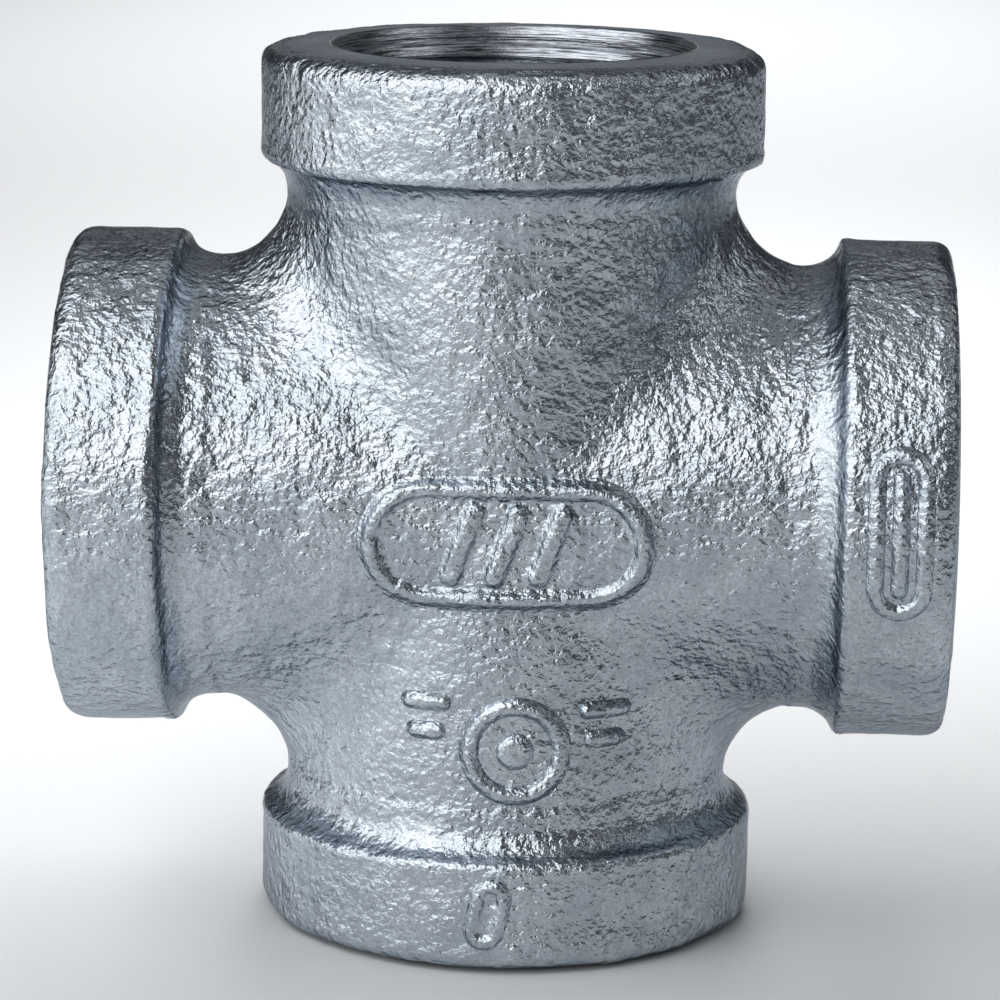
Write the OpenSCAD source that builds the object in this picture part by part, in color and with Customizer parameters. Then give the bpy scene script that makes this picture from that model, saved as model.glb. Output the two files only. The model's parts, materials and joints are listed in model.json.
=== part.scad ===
// Equal four-way cross, a banded malleable-iron pipe fitting with a 3/4 in female thread in each port.
// The origin is where the four port axes meet. Z runs up through the top port, X along the run,
// and the foundry marks face -Y. Millimetres.

/* [Ports] */
// Distance from the centre of the cross to the face of each port
centre_to_end = 33.3; // [32.5:0.1:36]
// Outer radius of the reinforcing band round each port
band_r = 18.9; // [18.2:0.1:20]
// Width of the band, measured back from the face
band_w = 8.3; // [7:0.1:9]
// Length of the slope from the band down to the arm
shoulder_w = 1.5; // [1:0.1:2.4]
// Rounding of the band's two edges
edge_r = 1.3; // [0.6:0.1:1.6]

/* [Body] */
// Outer radius of the four arms
arm_r = 16.7; // [16.4:0.1:17.4]
// Radius of the fillet in each crotch, where two arms meet
crotch_r = 6.5; // [5:0.1:7.5]
// Radius of the cored passages inside
core_r = 13.7; // [13.5:0.1:14.2]

/* [Threads] */
// Minor radius of the female thread
thread_r = 12.06; // [11.9:0.01:12.2]
// Length of full thread in each port
thread_len = 12.7; // [11:0.1:13]
// Length of the run-out at the inner end of the thread
thread_tail = 0.8; // [0.4:0.1:1.2]

/* [Foundry marks] */
// Height of every raised mark above the surface that it stands on
mark_h = 0.45; // [0.3:0.05:0.5]
// Width of the raised lines and bars
line_w = 0.9; // [0.7:0.1:1.2]
// Length of the long panel in the middle of the front
panel_l = 21.4; // [16:0.2:22]
// Height of that panel
panel_w = 9.6; // [8:0.2:10]
// Outer radius of the round mark below the panel
ring_r = 3.9; // [3:0.1:4.2]
// Length of the long mark on the right-hand band
strip_l = 12.6; // [8:0.2:13]
// Width of that mark
strip_w = 4.6; // [3.6:0.2:4.8]
// Length of the pill-shaped mark on the lower band
pill_l = 5.2; // [4:0.2:5.6]
// Width of that mark
pill_w = 2.8; // [2:0.2:3.2]

/* [Hidden] */
$fn = 96;
zinc = [0.58, 0.63, 0.67];
bare_iron = [0.36, 0.34, 0.33];
raised_zinc = [0.66, 0.71, 0.75];
mouth_chamfer = core_r - thread_r;                          // 45 degrees
thread_depth = thread_len + mouth_chamfer + thread_tail;
arm_end = centre_to_end - band_w - shoulder_w;              // where the arm stops and the band's slope starts
bend_r = arm_r + crotch_r;                                  // crotch centre's distance from each arm's axis
arc_steps = 6;
fillet_steps = 14;
over = 1;                                                   // how far a cutter runs past what it cuts
panel_at = [0.6, -1.3];                                     // x and z of each mark's centre
ring_at = [1.4, -16.8];
pill_at = [-0.4, -28.6];
strip_at = [28.9, 0.4];

function arc(centre, r, from, to) =
    [for (i = [0:arc_steps])
        let (a = from + (to - from) * i / arc_steps)
        centre + r * [cos(a), sin(a)]];

// Outline of one band in its own half plane: slope, rim with two rounded edges, flat face, bore
function band_outline() = concat(
    [[core_r, arm_end], [arm_r, arm_end]],
    arc([band_r - edge_r, centre_to_end - band_w + edge_r], edge_r, -60, 0),
    arc([band_r - edge_r, centre_to_end - edge_r], edge_r, 0, 90),
    [[core_r, centre_to_end]]);

// A ball of the crotch radius that rolls along both arms leaves this line in the diagonal plane.
// Each point is the distance from the crotch's axis and the height in front of the middle plane.
function fillet_point(a) =
    let (reach = sqrt(2 * pow(cos(a), 2) + 4 * pow(sin(a), 2)))
    [sqrt(2) * (bend_r - cos(a) * (bend_r - crotch_r / reach)),
     sin(a) * (bend_r - 2 * crotch_r / reach)];

// The last angle keeps the line short of the crotch's own bend radius, so that its ends lie in the arms
fillet_end = 68;
function fillet_line() = [for (i = [0:fillet_steps]) fillet_point(fillet_end * i / fillet_steps)];

module along_x() { rotate([0, 90, 0]) children(); }
module rod(r, length) { cylinder(h = length, r = r, center = true); }

// The web of metal that rounds one crotch, turned about the crotch's axis
module crotch_web() {
    line = fillet_line();
    mirrored = [for (i = [len(line) - 1:-1:1]) [line[i][0], -line[i][1]]];
    translate([bend_r, 0, bend_r]) rotate([90, 0, 0]) rotate([0, 0, 180])
        rotate_extrude(angle = 90) polygon(concat(line, mirrored));
}

module crotch_webs() {
    for (turn = [0:90:270]) rotate([0, turn, 0]) crotch_web();
}

// The four arms and their crotches, cored through along both axes
module body() {
    color(zinc) difference() {
        union() {
            rod(arm_r, 2 * arm_end);
            along_x() rod(arm_r, 2 * arm_end);
            crotch_webs();
        }
        rod(core_r, 2 * arm_end + 2 * over);
        along_x() rod(core_r, 2 * arm_end + 2 * over);
    }
}

// The thick band that reinforces the end of one arm
module band() { color(zinc) rotate_extrude() polygon(band_outline()); }

module band_top() { band(); }
module band_right() { rotate([0, 90, 0]) band(); }
module band_bottom() { rotate([0, 180, 0]) band(); }
module band_left() { rotate([0, 270, 0]) band(); }

// The ring of iron that one port's thread is cut in, with its mouth chamfer and its run-out
module thread_zone() {
    foot = centre_to_end - thread_depth;
    color(bare_iron) rotate_extrude() polygon([
        [core_r, foot],
        [core_r, centre_to_end],
        [thread_r, centre_to_end - mouth_chamfer],
        [thread_r, foot + thread_tail],
        [thread_r + thread_tail, foot]]);
}

module thread_top() { thread_zone(); }
module thread_right() { rotate([0, 90, 0]) thread_zone(); }
module thread_bottom() { rotate([0, 180, 0]) thread_zone(); }
module thread_left() { rotate([0, 270, 0]) thread_zone(); }

// A flat outline in x and z, as a prism that runs from the middle plane out to depth
module towards_front(at, depth) {
    translate([at[0], 0, at[1]]) rotate([90, 0, 0]) linear_extrude(depth) children();
}

module stadium(length, width) {
    square([length - width, width], center = true);
    for (side = [-1, 1]) translate([side * (length - width) / 2, 0]) circle(d = width);
}

module stadium_line(length, width) {
    difference() {
        stadium(length, width);
        stadium(length - 2 * line_w, width - 2 * line_w);
    }
}

// What of its children stands between the radii r and r + mark_h, round the riser or round the run
module on_riser(r) {
    difference() {
        intersection() {
            rod(r + mark_h, 2 * centre_to_end);
            children();
        }
        rod(r, 2 * centre_to_end + over);
    }
}

module on_run(r) {
    difference() {
        intersection() {
            along_x() rod(r + mark_h, 2 * centre_to_end);
            children();
        }
        along_x() rod(r, 2 * centre_to_end + over);
    }
}

// A plain long panel with a raised border and three leaning bars
module mark_panel() {
    plate_y = arm_r + mark_h * 0.6;
    bar_gap = 3.2;
    lean = 20;
    color(raised_zinc) difference() {
        union() {
            towards_front(panel_at, plate_y) stadium(panel_l, panel_w);
            towards_front(panel_at, plate_y + mark_h) stadium_line(panel_l, panel_w);
            for (i = [-1:1])
                towards_front(panel_at + [i * bar_gap, 0], plate_y + mark_h)
                    rotate(90 - lean) stadium(panel_w - 4 * line_w, 1.3 * line_w);
        }
        rod(arm_r, 2 * centre_to_end);
        along_x() rod(arm_r, 2 * centre_to_end);
    }
}

// A plain ring with a round boss in it
module mark_ring() {
    color(raised_zinc) on_riser(arm_r) towards_front(ring_at, band_r) {
        difference() {
            circle(r = ring_r);
            circle(r = ring_r - line_w);
        }
        circle(r = 1.3 * line_w);
    }
}

// Two short bars on each side of the ring
module mark_bars() {
    bar_l = 3.4;
    bar_gap = 2.2;
    color(raised_zinc) on_riser(arm_r) for (at = [[-5.2, -13.3], [7.9, -13.9]], low = [0, 1])
        towards_front(at - [0, low * bar_gap], band_r) stadium(bar_l - 0.8 * low, line_w);
}

module mark_lower_band() {
    lean = 12;
    color(raised_zinc) on_riser(band_r) towards_front(pill_at, band_r + over)
        rotate(90 - lean) stadium(pill_l, pill_w);
}

// A long upright border with a bar down its middle
module mark_right_band() {
    color(raised_zinc) on_run(band_r) towards_front(strip_at, band_r + over) rotate(90) {
        stadium_line(strip_l, strip_w);
        stadium(strip_l - 4 * line_w, line_w);
    }
}

body();
band_top();
band_bottom();
band_left();
band_right();
thread_top();
thread_bottom();
thread_left();
thread_right();
mark_panel();
mark_ring();
mark_bars();
mark_lower_band();
mark_right_band();
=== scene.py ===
import json
import math

import bpy
import numpy as np
import openvdb
from mathutils import Matrix, Vector


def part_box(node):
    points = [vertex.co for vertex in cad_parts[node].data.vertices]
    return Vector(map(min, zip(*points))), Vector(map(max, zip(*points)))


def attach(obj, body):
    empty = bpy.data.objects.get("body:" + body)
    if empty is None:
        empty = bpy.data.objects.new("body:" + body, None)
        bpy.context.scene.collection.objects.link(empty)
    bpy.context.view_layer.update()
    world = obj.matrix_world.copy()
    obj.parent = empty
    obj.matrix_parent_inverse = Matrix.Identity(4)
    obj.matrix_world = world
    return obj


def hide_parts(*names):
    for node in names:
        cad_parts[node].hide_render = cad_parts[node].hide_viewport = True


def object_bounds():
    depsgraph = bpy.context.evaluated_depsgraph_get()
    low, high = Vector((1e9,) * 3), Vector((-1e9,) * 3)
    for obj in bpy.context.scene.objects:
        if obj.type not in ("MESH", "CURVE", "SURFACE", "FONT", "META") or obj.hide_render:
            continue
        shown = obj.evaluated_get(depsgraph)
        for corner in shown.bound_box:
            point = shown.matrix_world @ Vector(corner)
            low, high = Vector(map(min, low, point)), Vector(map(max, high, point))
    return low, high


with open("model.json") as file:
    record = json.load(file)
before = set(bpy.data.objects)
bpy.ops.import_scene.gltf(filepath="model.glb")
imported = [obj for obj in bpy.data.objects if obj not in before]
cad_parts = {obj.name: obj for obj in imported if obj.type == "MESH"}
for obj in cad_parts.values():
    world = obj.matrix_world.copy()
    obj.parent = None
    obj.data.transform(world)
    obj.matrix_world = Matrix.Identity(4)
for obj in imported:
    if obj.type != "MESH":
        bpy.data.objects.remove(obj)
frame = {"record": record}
cad_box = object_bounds()
scene = bpy.context.scene

# ---------------------------------------------------------------- sizes, in millimetres
MM = 1000.0
LOW, HIGH = 0, 1
X, Y, Z = 0, 1, 2


def side(node, end, axis):
    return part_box(node)[end][axis] * MM


END = side("band_top", HIGH, Z)  # centre to the face of a port
BAND_R = side("band_top", HIGH, X)
ARM_R = side("body", HIGH, Y)
ARM_END = side("body", HIGH, Z)
CORE_R = side("thread_top", HIGH, X)
THREAD_FOOT = side("thread_top", LOW, Z)
port = next(m for m in frame["record"]["mounts"] if m["name"] == "port_top")
THREAD_R = port["dims"]["r_mm"]

CROTCH_R = 6.5  # the fillet where two arms meet
SHOULDER = 1.5  # slope between arm and band
BAND_W = END - ARM_END - SHOULDER
RIM_ROUND = 1.3  # band's edge at the face
BACK_ROUND = 0.75  # band's edge at the slope
SHOULDER_HOLLOW = 4.0  # radius of the hollow that leads from the arm up to the band
SHOULDER_SOFT = 0.6  # width of the soft crease between the arm and that hollow
SHOULDER_FILLET = 0.6  # what rounds the hollow into the band
SHOULDER_TUCK = 0.3  # how far the hollow's end hides inside the band
UNEVEN = 0.45  # how much the rounding of a band's edges varies
FACE_FALL = 0.25  # how much lower the face is at the band's edge than at the mouth

PITCH = 25.4 / 14
THREAD_DEPTH = 1.162
CREST = 0.16  # flat part of the thread's crest and of its root, as a share of the half pitch
RUNOUT = 0.8  # where the thread ends, its wall opens at 45 degrees over this length
MOUTH_SLOPE = 0.6  # how fast the mouth's countersink narrows
MOUTH_GAP = 0.03  # how much wider the casting's mouth is than the thread ring's
LIP = 0.15  # how far the thread ring reaches under the casting's skin
LINED = 0.3  # how far the casting's wall reaches into the thread ring


# ---------------------------------------------------------------- seeded noise
def noise(x, y, z, wave, seed):
    """Smooth noise of -1 to 1, whose lumps are about one wave across."""
    n = 64
    shift = 4096.5  # keeps the cell numbers positive
    lattice = np.random.default_rng(seed).uniform(-1, 1, (n, n, n)).astype(np.float32)
    cell, part = [], []
    for c in (x, y, z):
        c = c / wave + shift
        low = np.floor(c)
        cell.append(low.astype(np.int32) % n)
        t = (c - low).astype(np.float32)
        part.append(t * t * t * (t * (t * 6 - 15) + 10))
    total = 0
    for i in (0, 1):
        for j in (0, 1):
            for k in (0, 1):
                weight = 1.0
                for t, upper in zip(part, (i, j, k)):
                    weight = weight * (t if upper else 1 - t)
                total = total + weight * lattice[
                    (cell[0] + i) % n, (cell[1] + j) % n, (cell[2] + k) % n
                ]
    return total


LUMP_DEPTH = 0.12  # how far the cast skin lies under its nominal surface on average
LUMPS = ((0.09, 9.0), (0.07, 4.0), (0.05, 1.9), (0.04, 0.95))  # height and wave of each layer
LUMP_REACH = 1.5  # lumps are worked out only this near to the skin


def lumps(x, y, z):
    """How far the cast skin lies under its nominal surface."""
    depth = LUMP_DEPTH
    for seed, (rise, wave) in enumerate(LUMPS, 1):
        depth = depth - rise * noise(x, y, z, wave, seed)
    return depth


# ---------------------------------------------------------------- the casting's shape
def round_union(a, b, r):
    """Like the nearer of the two, with a fillet of radius r in the crease between them."""
    return np.maximum(r, np.minimum(a, b)) - np.hypot(
        np.maximum(r - a, 0), np.maximum(r - b, 0)
    )


def soft_union(a, b, width):
    """Like the nearer of the two, with the crease between them filled a little."""
    near = np.maximum(1 - np.abs(a - b) / width, 0)
    return np.minimum(a, b) - near * near * width / 4


def to_ellipse(u, v, a, b):
    """Distance in a plane from (u, v), both 0 or more, to the ellipse with half axes a and b."""
    tu = np.full_like(u, math.sqrt(0.5))
    tv = np.full_like(u, math.sqrt(0.5))
    for _ in range(4):
        eu = (a * a - b * b) * tu**3 / a
        ev = (b * b - a * a) * tv**3 / b
        r = np.hypot(a * tu - eu, b * tv - ev)
        q = np.hypot(u - eu, v - ev) + 1e-6
        tu = np.clip(((u - eu) * r / q + eu) / a, 0, 1)
        tv = np.clip(((v - ev) * r / q + ev) / b, 0, 1)
        t = np.hypot(tu, tv)
        tu, tv = tu / t, tv / t
    return np.hypot(u - a * tu, v - b * tv)


def crossing(x, y, z):
    """Distance to two crossing rods, with a ball of the crotch radius rolled along their creases."""
    big = ARM_R + CROTCH_R
    riser = np.hypot(x, y) + 1e-6
    run = np.hypot(z, y) + 1e-6
    edge = np.hypot(
        to_ellipse((x + z) * math.sqrt(0.5), y, math.sqrt(2) * big, big),
        (x - z) * math.sqrt(0.5),
    )
    on_riser = np.hypot(z, y * big / riser) >= big
    on_run = np.hypot(x, y * big / run) >= big
    reach = np.minimum(edge, np.where(on_riser, big - riser, 1e3))
    reach = np.minimum(reach, np.where(on_run, big - run, 1e3))
    rods = np.minimum(riser, run) - ARM_R
    return np.where(rods > CROTCH_R, rods, CROTCH_R - reach)


def fall(rho):
    """How far the face has dropped at this distance from the port's axis."""
    return FACE_FALL * (rho - CORE_R) / (BAND_R - CORE_R)


def band(rho, along, uneven):
    """Distance to the solid disc of one band, with a rounder back edge and an uneven rim."""
    half = BAND_W / 2
    middle = END - half
    along = along + fall(rho)
    r = np.where(along < middle, BACK_ROUND, RIM_ROUND) + uneven
    out = rho - (BAND_R - r)
    off = np.abs(along - middle) - (half - r)
    return (
        np.minimum(np.maximum(out, off), 0)
        + np.hypot(np.maximum(out, 0), np.maximum(off, 0))
        - r
    )


def shoulder(rho, along):
    """Distance to the flared foot of one band. Its hollow side leads from the arm to the band."""
    rise = BAND_R - ARM_R - SHOULDER_TUCK
    reach = math.sqrt(SHOULDER_HOLLOW**2 - (SHOULDER_HOLLOW - rise) ** 2)
    start = END - BAND_W - reach
    hollow = SHOULDER_HOLLOW - np.hypot(ARM_R + SHOULDER_HOLLOW - rho, along - start)
    ends = np.maximum(start - along, along - END + BAND_W - SHOULDER_TUCK)
    return np.maximum(hollow, np.maximum(ends, rho - BAND_R + SHOULDER_TUCK))


def outside(x, y, z):
    """The casting's outer skin, before its ends are faced and its bores cored."""
    uneven = UNEVEN * noise(x, y, z, 7.0, 5)
    x, y, z = np.abs(x), np.abs(y), np.abs(z)
    d = crossing(x, y, z)
    for rho, along in ((np.hypot(x, y), z), (np.hypot(z, y), x)):
        d = soft_union(d, shoulder(rho, along), SHOULDER_SOFT)
        d = round_union(d, band(rho, along, uneven), SHOULDER_FILLET)
    return d


def skin(x, y, z):
    """The same skin with the lumps of the casting."""
    d = outside(x, y, z)
    return d + np.where(np.abs(d) < LUMP_REACH, lumps(x, y, z), 0)


def bore(rho, along):
    """Distance to one cored passage. Where a thread ring lines it, the wall hides inside the ring."""
    mouth = CORE_R + MOUTH_GAP - MOUTH_SLOPE * (END - along)
    lined = np.maximum(CORE_R - LINED, mouth)
    return rho - np.where(along < THREAD_FOOT + LIP, CORE_R, lined)


def casting(x, y, z):
    """The skin with its four ends faced and both passages cored through."""
    d = skin(x, y, z)
    x, y, z = np.abs(x), np.abs(y), np.abs(z)
    from_riser, from_run = np.hypot(x, y), np.hypot(z, y)
    faces = np.maximum(z + fall(from_riser), x + fall(from_run)) - END
    bores = np.minimum(bore(from_riser, z), bore(from_run, x))
    return np.maximum(d, np.maximum(faces, -bores))


# ---------------------------------------------------------------- raised marks
SUNK = 0.5  # how far a mark's shell goes into the casting
THINNEST = 0.04  # a mark ends where it stands out by less than this
MARK_MARGIN = 0.7  # how far the grid of a mark reaches past its box in the CAD
MARK_DEPTH = 0.6  # and how much further towards the middle
BAR_GAP = 3.2  # between the panel's bars
ROW_GAP = 2.2  # between the two short bars on each side of the ring
PANEL_LEAN, LOWER_LEAN, UPRIGHT = 70, 78, 90  # degrees from X


# Each outline gives the distance in the X-Z plane to a flat shape, in millimetres, negative inside.
def pill(x, z, centre, length, width, lean=0.0):
    """A bar with round ends. At a lean of 0 it lies along X, and at 90 degrees along Z."""
    c, s = math.cos(math.radians(lean)), math.sin(math.radians(lean))
    u, v = x - centre[0], z - centre[1]
    u, v = c * u + s * v, c * v - s * u
    half = (length - width) / 2
    return np.hypot(u - np.clip(u, -half, half), v) - width / 2


def border(outline, inset, half):
    """A line of width 2 half whose middle runs inside an outline, at the distance inset."""
    return np.abs(outline + inset) - half


def stand_out(outline, height, soft):
    """The height of a raised shape whose edge slopes over about twice soft."""
    t = np.clip(0.5 - outline / (2 * soft), 0, 1)
    return height * t * t * (3 - 2 * t)


def panel_relief(x, z):
    plate = pill(x, z, PANEL, PANEL_L, PANEL_W)
    line = border(plate, 0.75, 0.5)
    for offset in (-BAR_GAP, 0, BAR_GAP):
        bar = pill(x, z, (PANEL[0] + offset, PANEL[1]), PANEL_W - 3.4, 1.3, PANEL_LEAN)
        line = np.minimum(line, bar)
    return stand_out(plate, 0.26, 0.5) + stand_out(line, 0.52, 0.34)


def ring_relief(x, z):
    boss_r = 1.2
    middle = np.hypot(x - RING[0], z - RING[1])
    line = border(middle - RING_R, 0.5, 0.5)
    return stand_out(np.minimum(line, middle - boss_r), 0.52, 0.34)


def bars_relief(x, z):
    line = 1e3
    for at in ((-5.2, -13.3), (7.9, -13.9)):
        line = np.minimum(line, pill(x, z, at, 3.4, 1.0))
        line = np.minimum(line, pill(x, z, (at[0], at[1] - ROW_GAP), 2.6, 1.0))
    return stand_out(line, 0.46, 0.32)


def lower_relief(x, z):
    plate = pill(x, z, LOWER, 5.2, 2.8, LOWER_LEAN)
    line = border(plate, 0.45, 0.4)
    return stand_out(plate, 0.12, 0.3) + stand_out(line, 0.36, 0.32)


def right_relief(x, z):
    plate = pill(x, z, STRIP, STRIP_L, 4.6, UPRIGHT)
    line = border(plate, 0.55, 0.45)
    line = np.minimum(line, pill(x, z, STRIP, STRIP_L - 3.6, 0.9, UPRIGHT))
    return stand_out(line, 0.42, 0.34)


def centre_of(node):
    """The middle of a CAD node's box, in X and Z."""
    low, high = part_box(node)
    return ((low[X] + high[X]) / 2 * MM, (low[Z] + high[Z]) / 2 * MM)


PANEL, RING = centre_of("mark_panel"), centre_of("mark_ring")
LOWER, STRIP = centre_of("mark_lower_band"), centre_of("mark_right_band")
PANEL_L = side("mark_panel", HIGH, X) - side("mark_panel", LOW, X)
PANEL_W = side("mark_panel", HIGH, Z) - side("mark_panel", LOW, Z)
RING_R = (side("mark_ring", HIGH, X) - side("mark_ring", LOW, X)) / 2
STRIP_L = side("mark_right_band", HIGH, Z) - side("mark_right_band", LOW, Z)


def raised(relief):
    """A thin closed shell that stands out of the casting, sunk a little into it."""

    def field(x, y, z):
        under = skin(x, y, z)
        height = np.where(y < 0, relief(x, z), 0)
        return np.maximum(np.maximum(under - height, -SUNK - under), THINNEST - height)

    return field


# ---------------------------------------------------------------- meshes
def isosurface(name, field, low, high, step):
    """A closed mesh of where field is negative, in metres."""
    axes = [
        np.arange(a - 2 * step, b + 3 * step, step, dtype=np.float32) for a, b in zip(low, high)
    ]
    values = np.empty([len(a) for a in axes], np.float32)
    slab = 24  # rows worked out at a time
    far = 3.0  # distances past this are cut off
    for i in range(0, len(axes[0]), slab):
        x, y, z = np.meshgrid(axes[0][i : i + slab], axes[1], axes[2], indexing="ij")
        values[i : i + slab] = field(x, y, z)
    grid = openvdb.FloatGrid(far)
    grid.copyFromArray(np.clip(values, -far, far).astype(float))
    points, quads = grid.convertToQuads(isovalue=0)
    points = points * step + np.array([a[0] for a in axes])
    return mesh_from(name, points, quads)


def mesh_from(name, points, quads):
    """An object from points in millimetres and quads, turned so that its faces look outwards."""
    points, quads = np.asarray(points, float), np.asarray(quads, int)
    a, b, c, d = (points[quads[:, i]] for i in range(4))
    if np.einsum("ij,ij->i", (a + b + c + d) / 4, np.cross(c - a, d - b)).sum() < 0:
        quads = quads[:, ::-1]
    mesh = bpy.data.meshes.new(name)
    mesh.vertices.add(len(points))
    mesh.vertices.foreach_set("co", (points / MM).astype(np.float32).ravel())
    mesh.loops.add(quads.size)
    mesh.loops.foreach_set("vertex_index", quads.astype(np.int32).ravel())
    mesh.polygons.add(len(quads))
    mesh.polygons.foreach_set("loop_start", np.arange(0, quads.size, 4, dtype=np.int32))
    mesh.update()
    mesh.validate()
    mesh.shade_smooth()
    ob = bpy.data.objects.new(name, mesh)
    scene.collection.objects.link(ob)
    return ob


def thread_wall(turn, height):
    """Radius of the cut wall: rounded crests and roots, the mouth's countersink and the run-out."""
    phase = (height / PITCH - turn) % 1.0
    flank = np.clip((np.abs(phase - 0.5) * 2 - CREST) / (1 - 2 * CREST), 0, 1)
    groove = THREAD_R + THREAD_DEPTH * (0.5 + 0.5 * np.cos(np.pi * flank))
    countersink = CORE_R - MOUTH_SLOPE * (END - height)
    runout = THREAD_R + np.clip(THREAD_FOOT + RUNOUT - height, 0, RUNOUT)
    return np.maximum(np.maximum(groove, countersink), runout)


def thread_ring(name, turn_about_y):
    """The iron that one thread is cut in: the cut wall, closed by a plain outer wall."""
    around, per_pitch = 144, 16
    rows = int((END - THREAD_FOOT) / PITCH * per_pitch)
    height = np.linspace(THREAD_FOOT, END, rows + 1)
    turn = np.arange(around) / around
    r = thread_wall(turn[None, :], height[:, None])
    outer = CORE_R + LIP
    rings = [(r[i], np.full(around, height[i])) for i in range(rows + 1)]
    rings.append((np.full(around, outer), np.full(around, END - LIP)))
    rings.append((np.full(around, outer), np.full(around, THREAD_FOOT)))
    cx, cy = np.cos(2 * np.pi * turn), np.sin(2 * np.pi * turn)
    points = np.concatenate([np.stack([rr * cx, rr * cy, hh], -1) for rr, hh in rings])
    index = np.arange(len(rings) * around).reshape(-1, around)
    above = np.roll(index, -1, 0)
    corners = [index, above, np.roll(above, -1, 1), np.roll(index, -1, 1)]
    quads = np.stack(corners, -1).reshape(-1, 4)
    c, s = math.cos(turn_about_y), math.sin(turn_about_y)
    points = points @ np.array([[c, 0, -s], [0, 1, 0], [s, 0, c]])
    return mesh_from(name, points, quads)


# ---------------------------------------------------------------- materials
class Nodes:
    """Short names for building a node tree."""

    def __init__(self, name):
        self.material = bpy.data.materials.new(name)
        self.material.use_nodes = True
        self.tree = self.material.node_tree
        self.shader = self.tree.nodes["Principled BSDF"]

    def add(self, kind, inputs=None, **props):
        node = self.tree.nodes.new(kind)
        for k, v in props.items():
            setattr(node, k, v)
        for k, v in (inputs or {}).items():
            self.put(node.inputs[k], v)
        return node

    def put(self, socket, value):
        if isinstance(value, bpy.types.NodeSocket):
            self.tree.links.new(value, socket)
        else:
            socket.default_value = value

    def math(self, operation, *values):
        node = self.add("ShaderNodeMath", operation=operation)
        for socket, v in zip(node.inputs, values):
            self.put(socket, v)
        return node.outputs[0]

    def noise(self, vector, scale, detail=2.0, roughness=0.5, distortion=0.0):
        inputs = {"Vector": vector, "Scale": scale, "Detail": detail}
        inputs |= {"Roughness": roughness, "Distortion": distortion}
        return self.add("ShaderNodeTexNoise", inputs).outputs["Fac"]

    def ramp(self, value, low, high, to_low=0.0, to_high=1.0):
        """Eases from to_low to to_high while value goes from low to high."""
        inputs = {"Value": value, "From Min": low, "From Max": high}
        inputs |= {"To Min": to_low, "To Max": to_high}
        node = self.add("ShaderNodeMapRange", inputs, interpolation_type="SMOOTHSTEP")
        return node.outputs["Result"]

    def mix(self, factor, a, b):
        node = self.add("ShaderNodeMix", data_type="RGBA")
        self.put(node.inputs["Factor"], factor)
        self.put(node.inputs["A"], a)
        self.put(node.inputs["B"], b)
        return node.outputs["Result"]

    def place(self):
        """Object coordinates in millimetres: as one vector, then |X|, Y and |Z|."""
        metres = self.add("ShaderNodeTexCoord").outputs["Object"]
        scaled = self.add("ShaderNodeVectorMath", {0: metres, "Scale": MM}, operation="SCALE")
        mm = scaled.outputs[0]
        xyz = self.add("ShaderNodeSeparateXYZ", {0: mm}).outputs
        return mm, self.math("ABSOLUTE", xyz["X"]), xyz["Y"], self.math("ABSOLUTE", xyz["Z"])

    def cells(self, vector, scale, feature="F1", **more):
        """Distance to the middle of the nearest of many scattered cells. SMOOTH_F1 rounds it off."""
        inputs = {"Vector": vector, "Scale": scale, "Randomness": 1.0, **more}
        return self.add("ShaderNodeTexVoronoi", inputs, feature=feature).outputs["Distance"]

    def metal(self, base, rough, height):
        """Fills in the shader of a metal whose bumps have this height, in millimetres."""
        inputs = {"Strength": 1.0, "Distance": 1 / MM, "Height": height}
        self.put(self.shader.inputs["Base Color"], base)
        self.put(self.shader.inputs["Roughness"], rough)
        self.put(self.shader.inputs["Normal"], self.add("ShaderNodeBump", inputs).outputs[0])
        self.shader.inputs["Metallic"].default_value = 1.0


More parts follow.
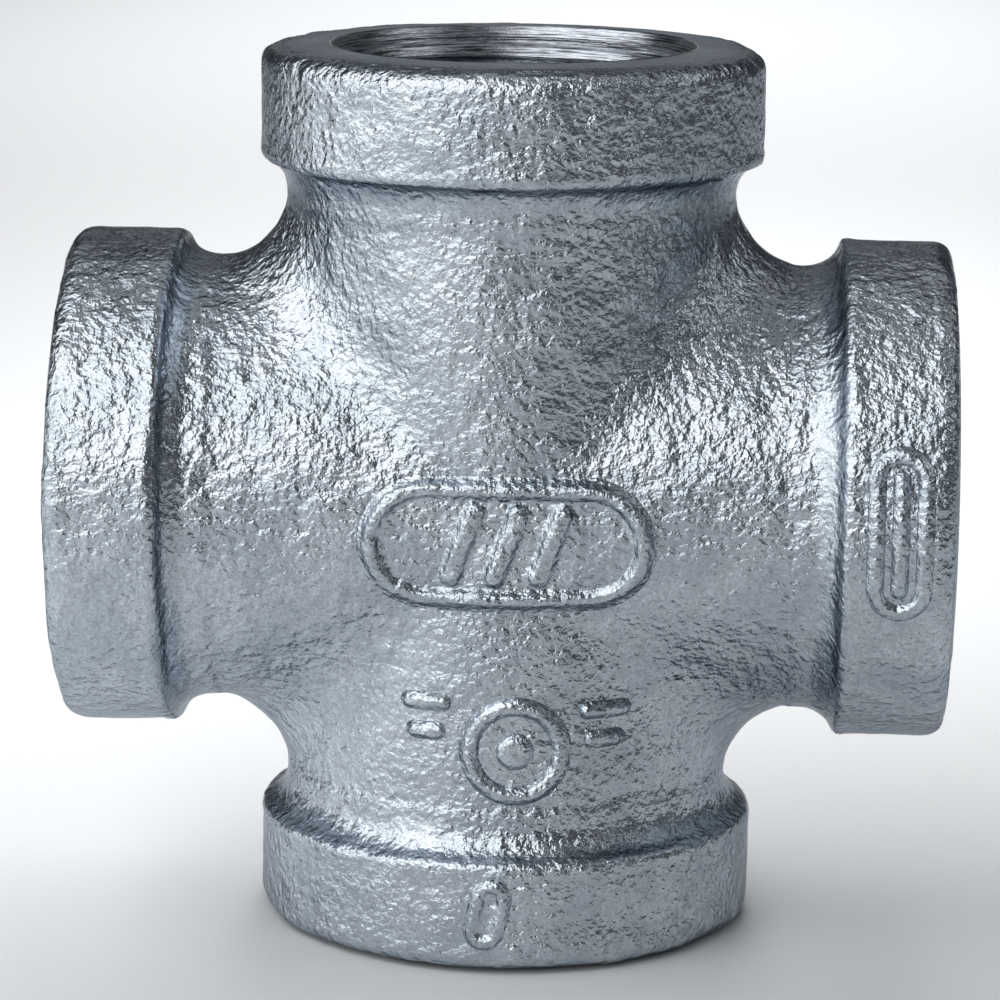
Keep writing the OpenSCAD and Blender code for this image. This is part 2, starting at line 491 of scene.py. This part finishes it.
def galvanised(name):
    """Zinc over a cast skin: crinkled, with painted shade in the low parts of its grain and crinkle,
    but plain on the four faced ends.
    """
    n = Nodes(name)
    mm, ax, _, az = n.place()
    along = n.math("MAXIMUM", ax, az)
    faced = n.ramp(along, END - 0.25, END - 0.02)
    cast = n.math("SUBTRACT", 1.0, faced)
    from_groove = n.math("ABSOLUTE", n.math("SUBTRACT", along, ARM_END + 0.4))
    open_skin = n.ramp(from_groove, 0.5, 2.3, 0.75, 1.0)
    crinkle = n.noise(mm, 1.5, 2.0, 0.55, 0.15)
    cells = n.cells(mm, 1.7, "SMOOTH_F1", Smoothness=0.5)
    wave = n.noise(mm, 0.7, 2.0, 0.5)
    grain = n.noise(mm, 3.4, 2.0, 0.6)
    pit = n.ramp(n.cells(mm, 0.11), 0.012, 0.035, 1.0, 0.0)
    swell = n.ramp(n.noise(mm, 0.22, 2.0, 0.6), 0.34, 0.62, 0.72, 1.15)
    tool = n.noise(mm, 3.0, 2.0, 0.6)

    # Bumps in millimetres: the cast skin's swell and fade, and the faced ends have tool marks.
    height = n.math("MULTIPLY", crinkle, 0.22)
    height = n.math("MULTIPLY_ADD", cells, -0.09, height)
    height = n.math("MULTIPLY_ADD", wave, 0.20, height)
    height = n.math("MULTIPLY_ADD", grain, 0.09, height)
    height = n.math("MULTIPLY", height, swell)
    height = n.math("MULTIPLY_ADD", pit, -0.10, height)
    height = n.math("MULTIPLY", height, n.math("MULTIPLY", cast, open_skin))
    height = n.math("MULTIPLY_ADD", n.math("MULTIPLY", tool, faced), 0.06, height)

    # Colour: broad stains, then painted shade in the low parts of the grain and in the hollows of the
    # crinkle, then the finest frost and the pits.
    stain = n.ramp(n.noise(mm, 0.16, 3.0, 0.6), 0.42, 0.62)
    base = n.mix(stain, (0.66, 0.72, 0.78, 1), (0.55, 0.61, 0.67, 1))
    # painted shade: darkens the low parts of the grain on the cast skin
    grain_shade = n.math("MULTIPLY", n.ramp(grain, 0.28, 0.58, 0.42, 0.0), cast)
    base = n.mix(grain_shade, base, (0.26, 0.29, 0.32, 1))
    # painted shade: darkens the hollows of the crinkle on the cast skin
    hollow = n.math("MULTIPLY", n.ramp(crinkle, 0.36, 0.54, 0.24, 0.0), cast)
    base = n.mix(hollow, base, (0.32, 0.36, 0.40, 1))
    frost = n.ramp(n.noise(mm, 5.5, 2.0, 0.7), 0.40, 0.60, 0.0, 0.45)
    base = n.mix(frost, base, (0.34, 0.38, 0.42, 1))
    base = n.mix(n.math("MULTIPLY", pit, 0.7), base, (0.10, 0.09, 0.08, 1))
    rough = n.ramp(n.noise(mm, 0.5, 3.0, 0.6), 0.35, 0.65, 0.15, 0.27)
    n.metal(base, n.math("MULTIPLY_ADD", faced, 0.18, rough), height)
    n.shader.inputs["Specular Tint"].default_value = (0.45, 0.47, 0.50, 1)
    return n.material


def cut_iron(name):
    """Bare iron with the grooves that a tap leaves round each port's axis, with painted shade in
    their low parts.
    """
    n = Nodes(name)
    mm, ax, y, az = n.place()
    grain = n.noise(mm, 6.0, 2.0, 0.6)
    drawn_out, packed = 0.16, 6.5  # how the grooves scale round the axis and along it
    across = n.math("MULTIPLY", n.math("MINIMUM", ax, az), drawn_out)
    forward = n.math("MULTIPLY", y, drawn_out)
    along = n.math("MULTIPLY", n.math("MAXIMUM", ax, az), packed)
    lathe = n.add("ShaderNodeCombineXYZ", {0: across, 1: forward, 2: along}).outputs[0]
    tooling = n.noise(lathe, 1.0, 3.0, 0.65)
    height = n.math("MULTIPLY", grain, 0.012)
    height = n.math("MULTIPLY_ADD", tooling, 0.09, height)
    base = n.mix(n.noise(mm, 0.6, 3.0, 0.6), (0.42, 0.45, 0.50, 1), (0.62, 0.66, 0.71, 1))
    # painted shade: the low parts of the tool grooves are darkened nearly to black
    base = n.mix(n.ramp(tooling, 0.38, 0.54, 0.9, 0.0), base, (0.04, 0.04, 0.05, 1))
    n.metal(base, n.ramp(grain, 0.3, 0.7, 0.10, 0.22), height)
    return n.material


zinc = galvanised("zinc_skin")
iron = cut_iron("cut_iron")

# ---------------------------------------------------------------- pieces
fine, finer = ((0.3, 0.15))  # grid steps of the casting and the marks
cast = isosurface("casting", casting, (-END, -BAND_R, -END), (END, BAND_R, END), fine)
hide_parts("body", "band_top", "band_bottom", "band_left", "band_right")
cast.data.materials.append(zinc)
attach(cast, "root")

TURNS = {"top": 0.0, "right": math.pi / 2, "bottom": math.pi, "left": -math.pi / 2}
for where, turn in TURNS.items():
    ring = thread_ring("thread_cut_" + where, turn)
    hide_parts("thread_" + where)
    ring.data.materials.append(iron)
    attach(ring, "root")

MARKS = {
    "panel": panel_relief,
    "ring": ring_relief,
    "bars": bars_relief,
    "lower_band": lower_relief,
    "right_band": right_relief,
}
for where, relief in MARKS.items():
    low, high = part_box("mark_" + where)
    low = [c * MM - MARK_MARGIN for c in low]
    high = [c * MM + MARK_MARGIN for c in high]
    high[Y] = min(high[Y] + MARK_DEPTH, 0)
    mark = isosurface("raised_" + where, raised(relief), low, high, finer)
    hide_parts("mark_" + where)
    mark.data.materials.append(zinc)
    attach(mark, "root")

# ---------------------------------------------------------------- camera
# Fitted to the photo's outline: to the right of the front and above, with a little roll.
AZIMUTH, ELEVATION, ROLL = map(math.radians, (2.56, 11.98, 0.66))
DISTANCE = 309.0 / MM
LENS, SENSOR = 145.9, 36
LOOK_LEFT, LOOK_BELOW = 0.69 / MM, 1.51 / MM  # of the origin, which isn't quite in the middle

back = Vector((
    math.sin(AZIMUTH) * math.cos(ELEVATION),
    -math.cos(AZIMUTH) * math.cos(ELEVATION),
    math.sin(ELEVATION),
))
right = Vector((0, 0, 1)).cross(back).normalized()
up = back.cross(right)
right, up = (
    math.cos(ROLL) * right + math.sin(ROLL) * up,
    -math.sin(ROLL) * right + math.cos(ROLL) * up,
)
camera_data = bpy.data.cameras.new("camera")
camera = bpy.data.objects.new("camera", camera_data)
scene.collection.objects.link(camera)
camera_data.lens = LENS
camera_data.sensor_width = SENSOR
camera_data.clip_start = 0.01
eye = back * DISTANCE
away = (eye - (-LOOK_LEFT * right - LOOK_BELOW * up)).normalized()
side_way = up.cross(away).normalized()
upward = away.cross(side_way)
turn = Matrix((side_way, upward, away)).transposed().to_4x4()
camera.matrix_world = Matrix.Translation(eye) @ turn
scene.camera = camera

# ---------------------------------------------------------------- floor and light
TABLE_TOP = cad_box[LOW][Z]
TABLE_SIDE, TABLE_BACK = 1.5, 2.5


def plain(name, colour, rough):
    n = Nodes(name)
    n.shader.inputs["Base Color"].default_value = (*colour, 1)
    n.shader.inputs["Roughness"].default_value = rough
    return n.material


def floor():
    """A pale table, far deeper than the picture shows."""
    left_front, right_front = (-TABLE_SIDE, -TABLE_SIDE), (TABLE_SIDE, -TABLE_SIDE)
    right_back, left_back = (TABLE_SIDE, TABLE_BACK), (-TABLE_SIDE, TABLE_BACK)
    verts = [(*at, TABLE_TOP) for at in (left_front, right_front, right_back, left_back)]
    mesh = bpy.data.meshes.new("table")
    mesh.from_pydata(verts, [], [(0, 1, 2, 3)])
    ob = bpy.data.objects.new("table", mesh)
    scene.collection.objects.link(ob)
    mesh.materials.append(plain("table_paint", (0.60, 0.61, 0.62), 0.8))


def panel_light(name, centre, facing, width, height, radiance, table_only=False):
    """A rectangular light. One for the table only isn't mirrored in the metal."""
    data = bpy.data.lights.new(name, "AREA")
    data.shape = "RECTANGLE"
    data.size, data.size_y = width, height
    data.energy = radiance * math.pi * width * height
    ob = bpy.data.objects.new(name, data)
    ob.location = centre
    ob.rotation_euler = Vector(facing).to_track_quat("-Z", "Y").to_euler()
    ob.visible_camera = False
    ob.visible_glossy = not table_only
    scene.collection.objects.link(ob)


def standing(name, azimuth, distance, low, high, width, radiance):
    """An upright panel that faces the object, with its edges at the heights low and high."""
    a = math.radians(azimuth)
    x, y = math.sin(a) * distance, -math.cos(a) * distance
    panel_light(name, (x, y, (low + high) / 2), (-x, -y, 0), width, high - low, radiance)


floor()
# Metres. The metal mirrors the panels; the last four only light the table.
standing("left_low_panel", -61, 0.30, TABLE_TOP, 0.07, 0.54, 1.0)
standing("left_high_panel", -61, 0.30, 0.07, 1.2, 0.54, 1.7)
standing("front_left_panel", -10, 0.5, 0.08, 1.5, 0.165, 1.9)
standing("fill_low", 5, 0.62, -0.02, 0.25, 0.10, 0.2)
standing("fill_high", 6, 0.75, 0.32, 1.3, 0.22, 0.75)
standing("right_panel", 88, 0.8, 0.35, 1.05, 0.62, 0.8)
standing("behind_panel", 182, 1.2, 0.12, 0.55, 0.44, 0.34)
panel_light("top_panel", (0, 0.25, 0.82), (0, -0.3, -1), 0.8, 0.7, 0.28)
panel_light("table_front", (-0.07, -0.08, 0.09), (0, 0, -1), 0.09, 0.08, 1.8, True)
panel_light("table_left", (-0.11, 0.07, 0.11), (0, 0, -1), 0.12, 0.16, 2.2, True)
panel_light("table_behind", (0.01, 0.19, 0.10), (0, 0, -1), 0.09, 0.30, 4.2, True)
panel_light("table_back", (0, 0.72, 0.27), (0, 0, -1), 0.24, 0.66, 4.8, True)
world = bpy.data.worlds.new("room")
scene.world = world
world.use_nodes = True
world.node_tree.nodes["Background"].inputs["Color"].default_value = (0.86, 0.93, 1, 1)
world.node_tree.nodes["Background"].inputs["Strength"].default_value = 0.09
scene.view_settings.view_transform = "Standard"
